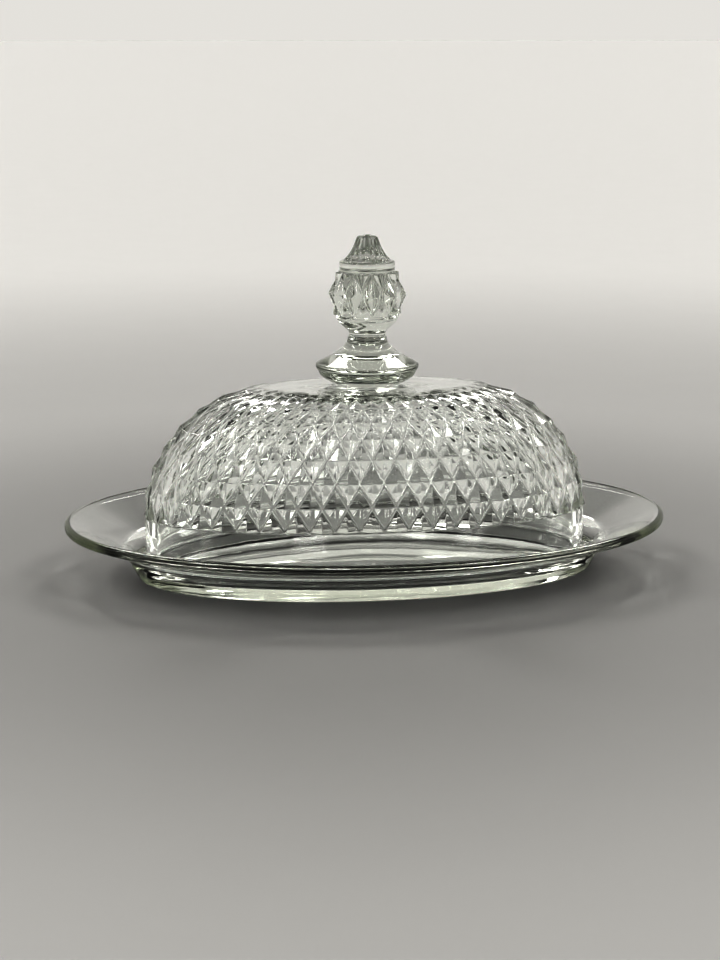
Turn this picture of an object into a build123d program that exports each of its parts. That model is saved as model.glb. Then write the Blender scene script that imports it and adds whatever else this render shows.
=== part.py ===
from build123d import *
import os
from math import cos, pi, sin

# Pressed-glass butter dish: an oval tray with a broad flared rim, and a lift-off domed cover
# with a finial knob. Millimetres, +Z up, +X along the dish's length. The origin is the centre
# of the foot, on the surface that the dish stands on. Every oval is an ellipse about the Z axis.

# Tray: half length and half width of each oval, and heights
RIM = (105.0, 76.0)
FOOT = (79.6, 42.2)
WALL_TOP = (84.5, 47.0)
SEAT_OUTER = (80.6, 42.6)
FLOOR = (70.4, 29.6)
RIM_TOP_HEIGHT = 21.0
RIM_THICKNESS = 3.2
WALL_TOP_HEIGHT = 9.5
SEAT_HEIGHT = 8.4
FLOOR_HEIGHT = 5.5
RECESS_SLOPE = 1.2
SEAT_CORNER_INSET = 1.0
FOOT_ROUND = 1.2
FOOT_RING_WIDTH = 6.0
FOOT_RECESS = 0.8

# Cover: plain band, relief belt of the diamond pattern, shoulders and smooth top panel
SEAT_GAP = 0.1
BAND = (77.4, 36.4)
BELT = (77.9, 37.0)
PANEL = (40.0, 21.0)
CROWN = (20.0, 13.0)
BAND_TOP_HEIGHT = 22.0
BELT_STEP = 0.6
SHOULDER_HEIGHT = 26.0
PANEL_EDGE_HEIGHT = 65.5
CROWN_HEIGHT = 66.6
SHOULDER_POWER = 1.75
CAVITY = (73.2, 32.2)
CEILING = (35.0, 16.0)
CAVITY_SHOULDER_HEIGHT = 22.0
CEILING_HEIGHT = 61.8

# Knob: (radius, height) of the points on its turned outline, from the foot to the tip
KNOB_FOOT_RADIUS = 10.8
SAUCER_BELLY = (15.8, 68.9)
SAUCER_SHOULDER = (17.4, 71.8)
SAUCER_EDGE_LOW = (17.7, 72.2)
SAUCER_EDGE_HIGH = (17.7, 73.5)
SAUCER_TOP = (16.8, 74.1)
FLARE = (9.3, 78.4)
NECK = (6.3, 84.4)
GLOBE_LOW = (10.2, 88.4)
GLOBE = (13.3, 97.6)
COLLAR_LOW = (9.45, 105.4)
COLLAR_HIGH = (9.45, 108.8)
CAP_FOOT = (7.8, 109.2)
CAP_WAIST = (4.9, 113.2)
CAP_TOP = (2.6, 117.2)
TIP = (1.6, 117.8)

# Knob: directions of the outline where its curves start and end
FLARE_START = (-1, 0.25)
UPRIGHT = (0, 1)
GLOBE_END = (-0.7, 1)

ROUND_STEPS = 4
SHOULDER_STEPS = 9


def oval(axes, height, inset=0.0):
    """A level elliptical section, drawn in from its half length and half width by inset."""
    return Plane.XY.offset(height) * Ellipse(axes[0] - inset, axes[1] - inset)


def between(inner, outer, share):
    """The oval that lies a share of the way from inner to outer."""
    return tuple(low + (high - low) * share for low, high in zip(inner, outer))


def stack(*levels):
    """A closed solid through level sections, straight between each one and the next."""
    return loft(list(levels), ruled=True)


def rounded_edge(axes, middle_height, radius, start, end):
    """Sections round an edge's circular outline, between two angles in degrees."""
    sections = []
    for step in range(ROUND_STEPS + 1):
        angle = (start + (end - start) * step / ROUND_STEPS) * pi / 180
        height = middle_height + radius * sin(angle)
        sections.append(oval(axes, height, inset=radius - radius * cos(angle)))
    return sections


def shoulder(low_axes, low_height, high_axes, high_height):
    """A smooth solid whose sides rise upright from the low oval and turn over to the high one."""
    sections = []
    for step in range(SHOULDER_STEPS + 1):
        angle = pi / 2 * step / SHOULDER_STEPS
        rise = sin(angle) ** (2 / SHOULDER_POWER)
        spread = max(cos(angle), 0.0) ** (2 / SHOULDER_POWER)
        height = low_height + (high_height - low_height) * rise
        sections.append(oval(between(high_axes, low_axes, spread), height))
    return loft(sections)


def make_tray():
    """Oval tray: foot, well wall and flared rim, with a seat for the cover round the floor."""
    half_rim = RIM_THICKNESS / 2
    outside = stack(
        *rounded_edge(FOOT, FOOT_ROUND, FOOT_ROUND, -90, 0),
        oval(WALL_TOP, WALL_TOP_HEIGHT),
        *rounded_edge(RIM, RIM_TOP_HEIGHT - half_rim, half_rim, -90, 90),
    )
    well = stack(
        oval(SEAT_OUTER, SEAT_HEIGHT),
        oval(WALL_TOP, WALL_TOP_HEIGHT + RIM_THICKNESS, inset=SEAT_CORNER_INSET),
        oval(RIM, RIM_TOP_HEIGHT, inset=half_rim),
    )
    floor = stack(
        oval(FLOOR, FLOOR_HEIGHT),
        oval(FLOOR, SEAT_HEIGHT, inset=-RECESS_SLOPE),
    )
    underside = stack(
        oval(FOOT, 0, inset=FOOT_RING_WIDTH),
        oval(FOOT, FOOT_RECESS, inset=FOOT_RING_WIDTH + FOOT_RECESS),
    )
    return outside - well - floor - underside


def make_cover_dome():
    """Oval dome, open below, with a plain band at its foot and a flat crown for the knob."""
    bottom = SEAT_HEIGHT + SEAT_GAP
    band = stack(oval(BAND, bottom), oval(BAND, BAND_TOP_HEIGHT))
    belt = stack(
        oval(BAND, BAND_TOP_HEIGHT),
        oval(BELT, BAND_TOP_HEIGHT + BELT_STEP),
        oval(BELT, SHOULDER_HEIGHT),
    )
    shoulders = shoulder(BELT, SHOULDER_HEIGHT, PANEL, PANEL_EDGE_HEIGHT)
    crown = stack(oval(PANEL, PANEL_EDGE_HEIGHT), oval(CROWN, CROWN_HEIGHT))
    cavity_band = stack(oval(CAVITY, bottom), oval(CAVITY, CAVITY_SHOULDER_HEIGHT))
    cavity_top = shoulder(CAVITY, CAVITY_SHOULDER_HEIGHT, CEILING, CEILING_HEIGHT)
    return band + belt + shoulders + crown - cavity_band - cavity_top


def make_cover_knob():
    """Finial knob: saucer foot, waisted neck, round grip, collar and pointed cap."""
    foot = (KNOB_FOOT_RADIUS, CROWN_HEIGHT)
    with BuildPart() as knob:
        with BuildSketch(Plane.XZ):
            with BuildLine():
                Polyline((0, TIP[1]), (0, CROWN_HEIGHT), foot)
                ThreePointArc(foot, SAUCER_BELLY, SAUCER_SHOULDER)
                Polyline(SAUCER_SHOULDER, SAUCER_EDGE_LOW, SAUCER_EDGE_HIGH, SAUCER_TOP)
                Spline(SAUCER_TOP, FLARE, NECK, tangents=(FLARE_START, UPRIGHT))
                Spline(NECK, GLOBE_LOW, GLOBE, COLLAR_LOW, tangents=(UPRIGHT, GLOBE_END))
                Polyline(COLLAR_LOW, COLLAR_HIGH, CAP_FOOT)
                ThreePointArc(CAP_FOOT, CAP_WAIST, CAP_TOP)
                Polyline(CAP_TOP, TIP, (0, TIP[1]))
            make_face()
        revolve(axis=Axis.Z)
    return knob.part


PARTS = {
    "tray": make_tray,
    "cover_dome": make_cover_dome,
    "cover_knob": make_cover_knob,
}

os.makedirs("parts", exist_ok=True)
for name, make in PARTS.items():
    export_step(make(), f"parts/{name}.step")
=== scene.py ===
from math import cos, pi, sin

import bpy
import bmesh
import numpy as np
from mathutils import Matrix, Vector


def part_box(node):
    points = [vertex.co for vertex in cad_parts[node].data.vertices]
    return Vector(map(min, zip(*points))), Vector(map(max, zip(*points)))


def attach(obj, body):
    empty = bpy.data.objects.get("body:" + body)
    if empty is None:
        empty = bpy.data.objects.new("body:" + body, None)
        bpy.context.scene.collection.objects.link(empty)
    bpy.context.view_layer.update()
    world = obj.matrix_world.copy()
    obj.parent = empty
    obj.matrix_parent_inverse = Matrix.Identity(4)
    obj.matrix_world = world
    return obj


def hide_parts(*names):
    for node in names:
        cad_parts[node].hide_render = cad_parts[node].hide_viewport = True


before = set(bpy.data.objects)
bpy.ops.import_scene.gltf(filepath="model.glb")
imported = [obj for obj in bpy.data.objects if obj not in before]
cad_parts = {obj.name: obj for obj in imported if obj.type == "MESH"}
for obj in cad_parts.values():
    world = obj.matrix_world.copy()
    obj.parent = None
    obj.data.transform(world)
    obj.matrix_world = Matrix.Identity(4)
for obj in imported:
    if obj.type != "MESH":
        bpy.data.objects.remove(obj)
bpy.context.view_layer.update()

MM = 0.001

# ---------------------------------------------------------------- sizes
# Millimetres. Ovals are (half length, half width). The outermost sizes of the dome and the knob
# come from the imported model; the tray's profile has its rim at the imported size.
# A corner reach is how far the curve at a profile's corner runs along its sides; 0 is sharp.

DOME_LOW, DOME_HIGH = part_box("cover_dome")
KNOB_LOW, KNOB_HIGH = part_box("cover_knob")

BELT = (DOME_HIGH.x / MM, DOME_HIGH.y / MM)
DOME_FOOT = DOME_LOW.z / MM
CROWN_HEIGHT = DOME_HIGH.z / MM
SAUCER_RADIUS = KNOB_HIGH.x / MM
KNOB_FOOT = KNOB_LOW.z / MM
KNOB_TOP = KNOB_HIGH.z / MM

SMOOTH_COUNT = 264  # points round a smooth oval, a whole number of times LATTICE_COUNT
ARC_SAMPLES = 4001  # points along an oval that find its even spacing
CORNER_SHARE = 0.49  # the most of a side that one corner's curve may take
DIAMONDS_AROUND = 44
LATTICE_COUNT = 2 * DIAMONDS_AROUND

# Tray
TRAY_FOOT_RECESS = 0.8
TRAY_FLOOR_HEIGHT = 5.5
TRAY_PROFILE = (  # half length, half width, height, corner reach
    (73.0, 35.6, TRAY_FOOT_RECESS, 0.0),
    (73.6, 36.2, 0.0, 0.4),
    (79.6, 42.2, 0.0, 1.4),
    (84.6, 47.1, 9.3, 2.6),
    (103.0, 74.0, 17.3, 0.8),
    (105.0, 76.0, 18.1, 1.2),
    (105.0, 76.0, 20.4, 1.2),
    (103.4, 74.4, 21.0, 0.8),
    (84.6, 47.0, 12.9, 3.0),
    (80.8, 42.8, 8.4, 1.2),
    (72.0, 31.2, 8.4, 1.2),
    (69.6, 28.8, TRAY_FLOOR_HEIGHT, 2.0),
    (60.0, 20.0, TRAY_FLOOR_HEIGHT, 0.0),
)

# Dome
BAND = (77.4, 36.4)
BAND_TOP = 22.0
CAVITY = (73.2, 32.2)
CAVITY_CEILING = (35.0, 16.0)
CAVITY_SHOULDER, CAVITY_TOP = 22.0, 61.8
CAVITY_STEPS = 22
SHOULDER_HEIGHT = 26.0
PANEL = (40.0, 21.0)
PANEL_HEIGHT = 65.5
SHOULDER_POWER = 1.75
DIAMOND_ROWS = (22.2, 30.4, 38.5, 46.3, 52.9, 58.1, 62.4, 65.35)
RELIEF = 1.85
RELIEF_FADES_FROM = 34.0
RELIEF_LEFT = 0.42  # share of the relief still there at the panel
POLISH_WIDTH = 0.55
POLISH_SEGMENTS = 4
GROOVE_ROUNDING = 1.2  # shares of the polish width
RIDGE_ROUNDING = 0.5
DOME_FOOT_PROFILE = (  # half length, half width, height, corner reach
    (*CAVITY, CAVITY_SHOULDER, 0.0),
    (*CAVITY, DOME_FOOT, 0.8),
    (*BAND, DOME_FOOT, 1.0),
    (*BAND, BAND_TOP, 0.3),
    (77.0, 36.0, BAND_TOP, 0.0),
)
PANEL_PROFILE = (  # half length, half width, height, corner reach
    (38.9, 19.9, 65.75, 0.0),
    (36.0, 17.6, 66.1, 2.0),
    (24.0, 13.8, CROWN_HEIGHT, 2.0),
    (11.0, 11.0, CROWN_HEIGHT, 0.0),
)

# Knob. The foot is a hair above the panel, so that the two faces don't lie in one place.
STEM_PROFILE = (  # height, radius, corner reach: saucer foot and waisted neck
    (KNOB_FOOT + 0.04, 9.5, 0.0),
    (KNOB_FOOT + 0.02, 10.8, 0.5),
    (68.9, 15.8, 2.6),
    (71.8, 17.3, 0.5),
    (72.3, SAUCER_RADIUS, 0.4),
    (73.5, SAUCER_RADIUS, 0.4),
    (74.1, 16.8, 0.6),
    (76.4, 12.3, 2.5),
    (78.6, 9.2, 2.0),
    (80.6, 7.3, 1.2),
    (82.1, 6.7, 0.4),
    (82.9, 6.7, 0.3),
    (83.3, 6.3, 0.4),
    (84.8, 6.4, 0.7),
    (86.0, 7.7, 1.0),
    (88.4, 10.3, 1.5),
    (90.4, 10.8, 0.0),
)
KNOB_FOOT_MIDDLE = KNOB_FOOT + 0.06
KNOB_SIDES = 10
LOZENGE_STEPS = 26
GAP_STEPS = 18
GRIP_STEPS = 40
GRIP_LOW, GRIP_MIDDLE, GRIP_HIGH = 90.7, 97.6, 105.1
GROOVE_RADIUS = (10.3, 10.7, 8.9)  # at the grip's bottom, middle and top
GROOVE_POWER = 1.6
LOZENGE_RISE = 2.75
LOZENGE_TAPER_POWER = 1.35
LOZENGE_SHARES = (0.04, 0.46)  # narrowest and widest half of a lozenge, in pitches
GAP_RISE = (1.5, 2.0)  # of the triangles below and above the grip's middle
BAND_SHARE = 0.06  # half the width of the band between facets, in pitches
FACET_LEAST = 0.05  # the least share of a facet that its bands leave
FACET_POWERS = (1.4, 0.8)  # shape of a facet's crown and of its flanks
FACET_SOFTENING = 0.25  # rounding where a facet meets its band
BAND_SINK = 0.5  # how far the band lies below the groove radius, in softenings
COLLAR_PROFILE = (  # height, radius, corner reach
    (105.3, 8.9, 0.0),
    (105.5, 9.3, 0.3),
    (105.9, 9.5, 0.3),
    (108.5, 9.5, 0.3),
    (108.9, 9.1, 0.2),
    (109.1, 8.2, 0.0),
)
FLUTES = 16
FLUTE_STEPS = 20
CAP_PROFILE = (  # height, radius over the ribs, depth of the flutes
    (109.2, 7.9, 0.1),
    (109.5, 7.75, 0.9),
    (110.1, 7.2, 1.5),
    (110.8, 6.5, 1.6),
    (111.8, 5.8, 1.3),
    (113.2, 5.0, 1.25),
    (114.8, 4.3, 1.2),
    (116.2, 3.8, 1.0),
    (117.0, 3.45, 0.7),
    (117.3, 3.0, 0.3),
    (117.35, 2.0, 0.0),
)
TIP_PROFILE = ((117.4, 1.5), (117.7, 1.3), (KNOB_TOP, 0.7))  # height, radius

# ---------------------------------------------------------------- looks
# A pane of glass d metres thick takes (1 - tint) * density * d off the light's logarithm.
# name, ripple size and depth in metres, tint, density
TRAY_GLASS = ("smooth_pressed_glass", 0.016, 0.00006, (0.66, 0.80, 0.34), 2.2)
DOME_GLASS = ("relief_pressed_glass", 0.009, 0.00004, (0.60, 0.63, 0.56), 10.0)
KNOB_GLASS = ("knob_pressed_glass", 0.007, 0.00003, (0.60, 0.63, 0.56), 23.0)
GLASS_IOR = 1.52
SMUDGE_SCALE = 55.0
SMUDGE_ROUGHNESS = 0.03
CLARITY = ((0.3, (0.965, 0.975, 0.965)), (0.7, (0.995, 1.0, 0.995)))

FLOOR_REACH = 30.0  # metres
FLOOR_ROUGHNESS = 0.55
FLOOR_MOTTLE_SCALE = 30.0
FLOOR_MOTTLE = (0.98, 1.0)
FLOOR_PAINTED_SHADE_TONES = (  # metres from the dish's middle, colour; the darker tones near the dish are a painted shadow
    (0.12, (0.42, 0.418, 0.414)),
    (0.35, (0.58, 0.577, 0.572)),
    (1.0, (0.80, 0.796, 0.789)),
)

# The studio. A height is the sine of the angle above the horizon. A side runs from 0 at the
# camera's end of the room to 1 at the far end. Each stop is (position, brightness).
ROOM_BY_HEIGHT = ((0.0, 0.8), (0.5, 0.8), (0.6, 0.08), (1.0, 0.08))
ROOM_BY_SIDE = ((0.0, 0.3), (0.3, 0.3), (0.42, 1.0))
HORIZON_BY_HEIGHT = ((0.0, 0.8), (0.09, 0.8), (0.17, 0.0))
ROOM_TINT = (1.0, 0.985, 0.955)
WINDOWS = 7
WINDOW_PHASE = 1.15
WINDOW_LIGHT = 14.0
WINDOWS_BY_HEIGHT = ((0.54, 0.0), (0.64, 1.0), (0.76, 1.0), (0.86, 0.0))
PANE_EDGES = ((0.76, 0.0), (0.92, 1.0))  # by a wave that peaks in the middle of each window
WINDOW_TINT = (1.0, 0.99, 0.965)
NO_TINT = (1, 1, 1)

# The camera, fitted to the photograph's outlines. Metres.
CAMERA_PLACE = (-0.1184, -0.7048, 0.1866)
CAMERA_DIRECTION = (0.1586, 0.9645, -0.2110)
CAMERA_LENS = 78.6
CAMERA_SENSOR = 36.0
VIEW_EXPOSURE = 0.12
VIEW_GAMMA = 0.55
LIGHT_BOUNCES = 64  # light runs a long way round the rim; fewer bounces leave it black


# ---------------------------------------------------------------- mesh building
class Skin:
    """Points and faces of one closed surface, built ring by ring. Lengths are in millimetres."""

    def __init__(self):
        self.points = []
        self.faces = []
        self.rounding = {}

    def ring(self, points):
        """Adds a closed loop of points and returns their indices."""
        start = len(self.points)
        self.points += [tuple(p) for p in points]
        return list(range(start, len(self.points)))

    def join(self, low, high):
        """Fills between two loops. One may have a whole number of times the other's points."""
        count = min(len(low), len(high))
        low_step, high_step = len(low) // count, len(high) // count
        for i in range(count):
            bottom = [low[(i * low_step + k) % len(low)] for k in range(low_step + 1)]
            top = [high[(i * high_step + k) % len(high)] for k in range(high_step + 1)]
            self.faces.append(bottom + top[::-1])

    def stack(self, loops):
        """Adds loops of points and joins each to the next. Returns the first and last."""
        rings = [self.ring(loop) for loop in loops]
        for low, high in zip(rings, rings[1:]):
            self.join(low, high)
        return rings[0], rings[-1]

    def close(self, loop, centre, flip=False):
        """Closes a loop with a fan of triangles to a point."""
        tip = self.ring([centre])[0]
        for i, corner in enumerate(loop):
            face = [corner, loop[(i + 1) % len(loop)], tip]
            self.faces.append(face[::-1] if flip else face)

    def lattice(self, low, high, apex_first):
        """Joins two rows of the diamond relief with triangles that meet along its grooves."""
        count = len(low)
        for i in range(count):
            j = (i + 1) % count
            if (i % 2 == 0) == apex_first:
                self.faces.append([low[i], low[j], high[i]])
                self.faces.append([low[j], high[j], high[i]])
                self.round_edge(low[j], high[i], GROOVE_ROUNDING)
            else:
                self.faces.append([low[i], low[j], high[j]])
                self.faces.append([low[i], high[j], high[i]])
                self.round_edge(low[i], high[j], GROOVE_ROUNDING)
            self.round_edge(low[i], high[i], RIDGE_ROUNDING)
            self.round_edge(low[i], low[j], RIDGE_ROUNDING)
            self.round_edge(high[i], high[j], RIDGE_ROUNDING)

    def round_edge(self, start, end, share):
        """Marks an edge to be rounded by a share of the piece's fire polish."""
        self.rounding[(min(start, end), max(start, end))] = share

    def build(self, name):
        """Makes the mesh object, in metres, with its faces turned outwards."""
        mesh = bpy.data.meshes.new(name)
        mesh.from_pydata([[c * MM for c in p] for p in self.points], [], self.faces)
        work = bmesh.new()
        work.from_mesh(mesh)
        bmesh.ops.recalc_face_normals(work, faces=work.faces)
        work.to_mesh(mesh)
        work.free()
        weights = mesh.attributes.new("bevel_weight_edge", "FLOAT", "EDGE")
        for i, edge in enumerate(mesh.edges):
            ends = (min(edge.vertices), max(edge.vertices))
            weights.data[i].value = self.rounding.get(ends, 0.0)
        mesh.polygons.foreach_set("use_smooth", [True] * len(mesh.polygons))
        piece = bpy.data.objects.new(name, mesh)
        bpy.context.scene.collection.objects.link(piece)
        return piece


def oval_points(axes, height, count=SMOOTH_COUNT):
    """Points evenly spaced along a level ellipse, from the front (-Y) round by +X."""
    fine = np.linspace(-pi / 2, 3 * pi / 2, ARC_SAMPLES)
    x, y = axes[0] * np.cos(fine), axes[1] * np.sin(fine)
    along = np.concatenate([[0], np.cumsum(np.hypot(np.diff(x), np.diff(y)))])
    angle = np.interp(np.arange(count) / count * along[-1], along, fine)
    return [(axes[0] * cos(t), axes[1] * sin(t), height) for t in angle]


def circle_points(radius, height, count):
    """Points round a level circle, from the front (-Y) round by +X."""
    points = []
    for i in range(count):
        angle = -pi / 2 + 2 * pi * i / count
        points.append((radius * cos(angle), radius * sin(angle), height))
    return points


def round_corners(corners, steps=5):
    """A profile's points. Each corner is (values..., reach); a corner with a reach is curved."""
    corners = [np.array(c, float) for c in corners]
    outline = []
    for i, corner in enumerate(corners):
        here, reach = corner[:-1], corner[-1]
        if reach == 0 or i in (0, len(corners) - 1):
            outline.append(here)
            continue
        before, after = corners[i - 1][:-1] - here, corners[i + 1][:-1] - here
        reach_before = min(reach, np.linalg.norm(before) * CORNER_SHARE)
        reach_after = min(reach, np.linalg.norm(after) * CORNER_SHARE)
        start = here + before / np.linalg.norm(before) * reach_before
        end = here + after / np.linalg.norm(after) * reach_after
        for step in range(steps + 1):
            t = step / steps
            outline.append((1 - t) ** 2 * start + 2 * t * (1 - t) * here + t * t * end)
    return outline


def oval_loops(profile, steps=5):
    """Level ovals up a profile of (half length, half width, height, corner reach)."""
    return [oval_points(p[:2], p[2]) for p in round_corners(profile, steps)]


def circle_loops(profile, count, steps):
    """Level circles up a profile of (height, radius, corner reach)."""
    return [circle_points(p[1], p[0], count) for p in round_corners(profile, steps)]


# ---------------------------------------------------------------- tray
def make_tray():
    """Oval tray: ring foot, flared well wall, broad rim, and a seat round the sunk floor."""
    skin = Skin()
    first, last = skin.stack(oval_loops(TRAY_PROFILE, steps=6))
    skin.close(first, (0, 0, TRAY_FOOT_RECESS), flip=True)
    skin.close(last, (0, 0, TRAY_FLOOR_HEIGHT))
    return skin.build("tray_glass")


# ---------------------------------------------------------------- cover
def share_at(height, low, high):
    """How far out the shoulders still are at a height: 1 upright at low, 0 at high."""
    rise = min(max((height - low) / (high - low), 0.0), 1.0)
    return (1 - rise**SHOULDER_POWER) ** (1 / SHOULDER_POWER)


def belt_axes(height):
    """The oval through the diamonds' points at a height."""
    share = share_at(height, SHOULDER_HEIGHT, PANEL_HEIGHT)
    return tuple(p + (b - p) * share for p, b in zip(PANEL, BELT))


def sunk(point, height, depth):
    """The point moved in by a depth, square to the belt's surface."""
    step = 0.05
    axes, above = belt_axes(height), belt_axes(min(height + step, PANEL_HEIGHT))
    cosine, sine = point[0] / axes[0], point[1] / axes[1]
    along = Vector((-axes[0] * sine, axes[1] * cosine, 0))
    up = Vector(((above[0] - axes[0]) * cosine, (above[1] - axes[1]) * sine, step))
    return tuple(Vector(point) - along.cross(up).normalized() * depth)


def relief_depth(height):
    """Depth of the grooves at a height. It fades towards the panel."""
    share = np.interp(height, (RELIEF_FADES_FROM, PANEL_HEIGHT), (1.0, RELIEF_LEFT))
    return RELIEF * float(share)


def diamond_row(row):
    """One level of the relief: diamond points alternate with crossings of the grooves."""
    height = DIAMOND_ROWS[row]
    depth = relief_depth(height)
    points = []
    for i, point in enumerate(oval_points(belt_axes(height), height, LATTICE_COUNT)):
        is_apex = (i + row) % 2 == 1
        points.append(point if is_apex else sunk(point, height, depth))
    return points


def cavity_loops():
    """Level ovals up the dome's smooth inside, over its shoulders to the ceiling."""
    loops = []
    for step in range(1, CAVITY_STEPS + 1):
        angle = pi / 2 * step / CAVITY_STEPS
        share = max(cos(angle), 0.0) ** (2 / SHOULDER_POWER)
        rise = sin(angle) ** (2 / SHOULDER_POWER)
        height = CAVITY_SHOULDER + (CAVITY_TOP - CAVITY_SHOULDER) * rise
        axes = [low + (high - low) * share for low, high in zip(CAVITY_CEILING, CAVITY)]
        loops.append(oval_points(axes, height))
    return loops


def make_dome():
    """Oval cover: plain band, diamond relief over the shoulders, smooth panel, smooth inside."""
    skin = Skin()
    foot_first, foot_last = skin.stack(oval_loops(DOME_FOOT_PROFILE))

    rows = [skin.ring(diamond_row(row)) for row in range(len(DIAMOND_ROWS))]
    skin.join(foot_last, rows[0])
    for row, (low, high) in enumerate(zip(rows, rows[1:])):
        skin.lattice(low, high, apex_first=row % 2 == 1)

    panel_first, panel_last = skin.stack(oval_loops(PANEL_PROFILE))
    skin.join(rows[-1], panel_first)
    skin.close(panel_last, (0, 0, CROWN_HEIGHT))

    inner_first, inner_last = skin.stack(cavity_loops())
    skin.join(foot_first, inner_first)
    skin.close(inner_last, (0, 0, CAVITY_TOP))
    piece = skin.build("cover_dome_glass")
    fire_polish(piece, POLISH_WIDTH * MM)
    return piece


def facet_lift(lift, across, reach, pitch):
    """Height of a facet at a place across it (-1 to 1), above the plain band round its edge."""
    inside = max(1 - BAND_SHARE * pitch / reach, FACET_LEAST)
    crown, flank = FACET_POWERS
    return lift * max(1 - abs(across / inside) ** crown, 0.0) ** flank


def grip_loop(height):
    """One level of the grip: tall curved lozenges with triangles between their tips."""
    is_low = height < GRIP_MIDDLE
    end = GRIP_LOW if is_low else GRIP_HIGH
    rise = abs(height - GRIP_MIDDLE) / abs(end - GRIP_MIDDLE)
    end_radius, middle_radius = GROOVE_RADIUS[0 if is_low else 2], GROOVE_RADIUS[1]
    base = middle_radius + (end_radius - middle_radius) * rise**GROOVE_POWER
    pitch = 2 * pi / KNOB_SIDES
    half = pitch / 2 * max(1 - rise**LOZENGE_TAPER_POWER, 0.0)
    half = min(max(half, LOZENGE_SHARES[0] * pitch), LOZENGE_SHARES[1] * pitch)
    lozenge = LOZENGE_RISE * (1 - rise)
    gap = GAP_RISE[0 if is_low else 1] * rise
    points = []
    for side in range(KNOB_SIDES):
        for i in range(LOZENGE_STEPS + GAP_STEPS):
            if i < LOZENGE_STEPS:
                across = -1 + 2 * i / LOZENGE_STEPS
                turn, lift, reach = across * half, lozenge, half
            else:
                across = -1 + 2 * (i - LOZENGE_STEPS) / GAP_STEPS
                turn, lift, reach = pitch / 2 + across * (pitch / 2 - half), gap, pitch / 2 - half
            lift = facet_lift(lift, across, reach, pitch)
            softened = (lift * lift + FACET_SOFTENING**2) ** 0.5
            radius = base + softened * (1 if lift > 0 else -BAND_SINK)
            angle = -pi / 2 + side * pitch + turn
            points.append((radius * cos(angle), radius * sin(angle), height))
    return points


def cap_loop(height, radius, depth, count):
    """One level of the pointed cap, with flutes of a depth cut into it."""
    points = []
    for i, (x, y, z) in enumerate(circle_points(radius, height, count)):
        groove = 1 - abs(sin(pi * i * FLUTES / count))
        shrink = 1 - depth / radius * groove
        points.append((x * shrink, y * shrink, z))
    return points


def make_knob():
    """Finial knob: saucer foot, waisted neck, faceted grip, plain collar and fluted cap."""
    skin = Skin()
    count = KNOB_SIDES * (LOZENGE_STEPS + GAP_STEPS)
    stem_first, stem_last = skin.stack(circle_loops(STEM_PROFILE, count, steps=6))
    skin.close(stem_first, (0, 0, KNOB_FOOT_MIDDLE), flip=True)

    grip_height = GRIP_HIGH - GRIP_LOW
    grip_first, grip_last = skin.stack(
        [grip_loop(GRIP_LOW + grip_height * i / GRIP_STEPS) for i in range(GRIP_STEPS + 1)]
    )
    skin.join(stem_last, grip_first)

    collar_first, collar_last = skin.stack(circle_loops(COLLAR_PROFILE, count, steps=4))
    skin.join(grip_last, collar_first)

    cap_count = FLUTES * FLUTE_STEPS
    cap_loops = [cap_loop(*level, cap_count) for level in CAP_PROFILE]
    cap_loops += [circle_points(radius, height, cap_count) for height, radius in TIP_PROFILE]
    cap_first, cap_last = skin.stack(cap_loops)
    skin.join(collar_last, cap_first)
    skin.close(cap_last, (0, 0, KNOB_TOP))
    return skin.build("cover_knob_glass")


def fire_polish(piece, width):
    """Rounds the marked edges, leaving flat facets and smooth walls as they are."""
    bevel = piece.modifiers.new("fire_polish", "BEVEL")
    bevel.width = width
    bevel.segments = POLISH_SEGMENTS
    bevel.limit_method = "WEIGHT"
    bevel.harden_normals = True
    bevel.use_clamp_overlap = False


# ---------------------------------------------------------------- materials
def colour_ramp(nodes, stops):
    """A colour ramp through (position, colour) stops."""
    ramp = nodes.new("ShaderNodeValToRGB")
    elements = ramp.color_ramp.elements
    elements.remove(elements[1])
    for i, (position, colour) in enumerate(stops):
        stop = elements[0] if i == 0 else elements.new(position)
        stop.position = position
        stop.color = (*colour, 1)
    return ramp


def tone_ramp(nodes, tones, tint):
    """A colour ramp through (position, brightness) stops of one tint."""
    return colour_ramp(nodes, [(position, [tone * c for c in tint]) for position, tone in tones])


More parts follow.
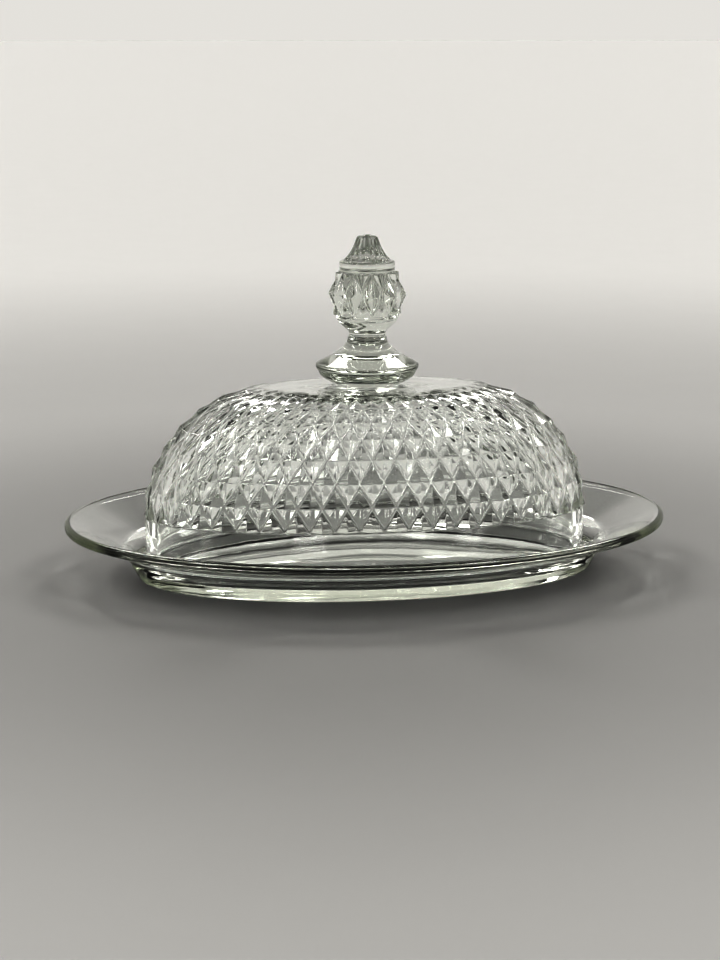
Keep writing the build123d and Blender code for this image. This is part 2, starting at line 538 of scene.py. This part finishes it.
def glass_material(name, ripple_size, ripple_depth, tint, tint_density):
    """Clear soda-lime glass: faint ripple from the mould, a tint that grows with depth."""
    material = bpy.data.materials.new(name)
    material.use_nodes = True
    nodes, links = material.node_tree.nodes, material.node_tree.links
    shader = nodes["Principled BSDF"]
    shader.inputs["Transmission Weight"].default_value = 1.0
    shader.inputs["IOR"].default_value = GLASS_IOR
    place = nodes.new("ShaderNodeTexCoord")

    smudge = nodes.new("ShaderNodeTexNoise")
    smudge.inputs["Scale"].default_value = SMUDGE_SCALE
    smudge.inputs["Detail"].default_value = 4.0
    links.new(place.outputs["Object"], smudge.inputs["Vector"])
    gloss = nodes.new("ShaderNodeMapRange")
    gloss.inputs["To Min"].default_value = 0.0
    gloss.inputs["To Max"].default_value = SMUDGE_ROUGHNESS
    links.new(smudge.outputs["Fac"], gloss.inputs["Value"])
    links.new(gloss.outputs["Result"], shader.inputs["Roughness"])
    clarity = colour_ramp(nodes, CLARITY)
    links.new(smudge.outputs["Fac"], clarity.inputs["Fac"])
    links.new(clarity.outputs["Color"], shader.inputs["Base Color"])

    ripple = nodes.new("ShaderNodeTexNoise")
    ripple.inputs["Scale"].default_value = 1 / ripple_size
    ripple.inputs["Detail"].default_value = 2.0
    links.new(place.outputs["Object"], ripple.inputs["Vector"])
    bump = nodes.new("ShaderNodeBump")
    bump.inputs["Strength"].default_value = 1.0
    bump.inputs["Distance"].default_value = ripple_depth
    links.new(ripple.outputs["Fac"], bump.inputs["Height"])
    links.new(bump.outputs["Normal"], shader.inputs["Normal"])

    depth = nodes.new("ShaderNodeVolumeAbsorption")
    depth.inputs["Color"].default_value = (*tint, 1)
    depth.inputs["Density"].default_value = tint_density
    links.new(depth.outputs["Volume"], nodes["Material Output"].inputs["Volume"])
    return material


def floor_material():
    """Matt pale board with a painted shadow that darkens it near the dish, and a very faint
    mottling.
    """
    material = bpy.data.materials.new("pale_floor")
    material.use_nodes = True
    nodes, links = material.node_tree.nodes, material.node_tree.links
    shader = nodes["Principled BSDF"]
    shader.inputs["Roughness"].default_value = FLOOR_ROUGHNESS
    place = nodes.new("ShaderNodeTexCoord")
    noise = nodes.new("ShaderNodeTexNoise")
    noise.inputs["Scale"].default_value = FLOOR_MOTTLE_SCALE
    noise.inputs["Detail"].default_value = 6.0
    links.new(place.outputs["Object"], noise.inputs["Vector"])
    mottle = nodes.new("ShaderNodeMapRange")
    mottle.inputs["To Min"].default_value = FLOOR_MOTTLE[0]
    mottle.inputs["To Max"].default_value = FLOOR_MOTTLE[1]
    links.new(noise.outputs["Fac"], mottle.inputs["Value"])
    reach = nodes.new("ShaderNodeVectorMath")
    reach.operation = "LENGTH"
    links.new(place.outputs["Object"], reach.inputs[0])
    # Painted shadow: the floor's colour darkens towards the dish's middle, standing in for the
    # shade the glass casts.
    tone = colour_ramp(nodes, FLOOR_PAINTED_SHADE_TONES)
    tone.color_ramp.interpolation = "EASE"
    links.new(reach.outputs["Value"], tone.inputs["Fac"])
    paint = nodes.new("ShaderNodeVectorMath")
    paint.operation = "SCALE"
    links.new(tone.outputs["Color"], paint.inputs[0])
    links.new(mottle.outputs["Result"], paint.inputs["Scale"])
    links.new(paint.outputs["Vector"], shader.inputs["Base Color"])
    return material


# ---------------------------------------------------------------- studio
def make_floor():
    """Wide pale floor under the dish, out to the horizon."""
    mesh = bpy.data.meshes.new("floor")
    reach = FLOOR_REACH
    mesh.from_pydata(
        [(-reach, -reach, 0), (reach, -reach, 0), (reach, reach, 0), (-reach, reach, 0)],
        [],
        [(0, 1, 2, 3)],
    )
    floor = bpy.data.objects.new("floor", mesh)
    bpy.context.scene.collection.objects.link(floor)
    floor.data.materials.append(floor_material())


def product(nodes, links, first, second):
    """One colour times another."""
    times = nodes.new("ShaderNodeVectorMath")
    times.operation = "MULTIPLY"
    links.new(first, times.inputs[0])
    links.new(second, times.inputs[1])
    return times.outputs["Vector"]


def make_sky():
    """Studio surroundings: a room bright on its far side, a pale horizon, a ring of windows."""
    world = bpy.data.worlds.new("studio")
    bpy.context.scene.world = world
    world.use_nodes = True
    nodes, links = world.node_tree.nodes, world.node_tree.links
    place = nodes.new("ShaderNodeTexCoord")
    split = nodes.new("ShaderNodeSeparateXYZ")
    links.new(place.outputs["Generated"], split.inputs[0])

    rise = tone_ramp(nodes, ROOM_BY_HEIGHT, ROOM_TINT)
    links.new(split.outputs["Z"], rise.inputs["Fac"])
    side = nodes.new("ShaderNodeMapRange")
    side.inputs["From Min"].default_value = -1.0
    links.new(split.outputs["Y"], side.inputs["Value"])
    turn = tone_ramp(nodes, ROOM_BY_SIDE, NO_TINT)
    links.new(side.outputs["Result"], turn.inputs["Fac"])
    room = product(nodes, links, rise.outputs["Color"], turn.outputs["Color"])
    horizon = tone_ramp(nodes, HORIZON_BY_HEIGHT, ROOM_TINT)
    links.new(split.outputs["Z"], horizon.inputs["Fac"])
    walls = nodes.new("ShaderNodeVectorMath")
    walls.operation = "MAXIMUM"
    links.new(room, walls.inputs[0])
    links.new(horizon.outputs["Color"], walls.inputs[1])

    band = tone_ramp(nodes, WINDOWS_BY_HEIGHT, WINDOW_TINT)
    links.new(split.outputs["Z"], band.inputs["Fac"])
    compass = nodes.new("ShaderNodeMath")
    compass.operation = "ARCTAN2"
    links.new(split.outputs["Y"], compass.inputs[0])
    links.new(split.outputs["X"], compass.inputs[1])
    phase = nodes.new("ShaderNodeMath")
    phase.operation = "MULTIPLY_ADD"
    phase.inputs[1].default_value = WINDOWS
    phase.inputs[2].default_value = WINDOW_PHASE
    links.new(compass.outputs[0], phase.inputs[0])
    wave = nodes.new("ShaderNodeMath")
    wave.operation = "SINE"
    links.new(phase.outputs[0], wave.inputs[0])
    panes = tone_ramp(nodes, PANE_EDGES, NO_TINT)
    links.new(wave.outputs[0], panes.inputs["Fac"])
    windows = product(nodes, links, band.outputs["Color"], panes.outputs["Color"])
    bright = nodes.new("ShaderNodeVectorMath")
    bright.operation = "SCALE"
    bright.inputs["Scale"].default_value = WINDOW_LIGHT
    links.new(windows, bright.inputs[0])

    total = nodes.new("ShaderNodeVectorMath")
    links.new(walls.outputs["Vector"], total.inputs[0])
    links.new(bright.outputs["Vector"], total.inputs[1])
    links.new(total.outputs["Vector"], nodes["Background"].inputs["Color"])


def make_camera():
    """Camera a little above the dish's top and to the left of its middle, as in the photograph."""
    data = bpy.data.cameras.new("camera")
    data.lens = CAMERA_LENS
    data.sensor_width = CAMERA_SENSOR
    camera = bpy.data.objects.new("camera", data)
    bpy.context.scene.collection.objects.link(camera)
    camera.location = CAMERA_PLACE
    camera.rotation_mode = "QUATERNION"
    camera.rotation_quaternion = Vector(CAMERA_DIRECTION).to_track_quat("-Z", "Y")
    bpy.context.scene.camera = camera


def set_view():
    """Tone of the picture, and how far light is followed through the glass."""
    scene = bpy.context.scene
    scene.view_settings.view_transform = "Standard"
    scene.view_settings.exposure = VIEW_EXPOSURE
    scene.view_settings.gamma = VIEW_GAMMA
    scene.cycles.max_bounces = LIGHT_BOUNCES
    scene.cycles.transmission_bounces = LIGHT_BOUNCES
    scene.cycles.glossy_bounces = LIGHT_BOUNCES


# ---------------------------------------------------------------- scene
set_view()
make_camera()
make_floor()
make_sky()

PIECES = (  # maker, glass, body, CAD node it replaces, material slot
    (make_tray, TRAY_GLASS, "tray", "tray", "tray_glass"),
    (make_dome, DOME_GLASS, "cover", "cover_dome", "cover_glass"),
    (make_knob, KNOB_GLASS, "cover", "cover_knob", "knob_glass"),
)
for make, glass, body, node, slot in PIECES:
    piece = make()
    piece.data.materials.append(glass_material(*glass))
    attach(piece, body)
    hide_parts(node)
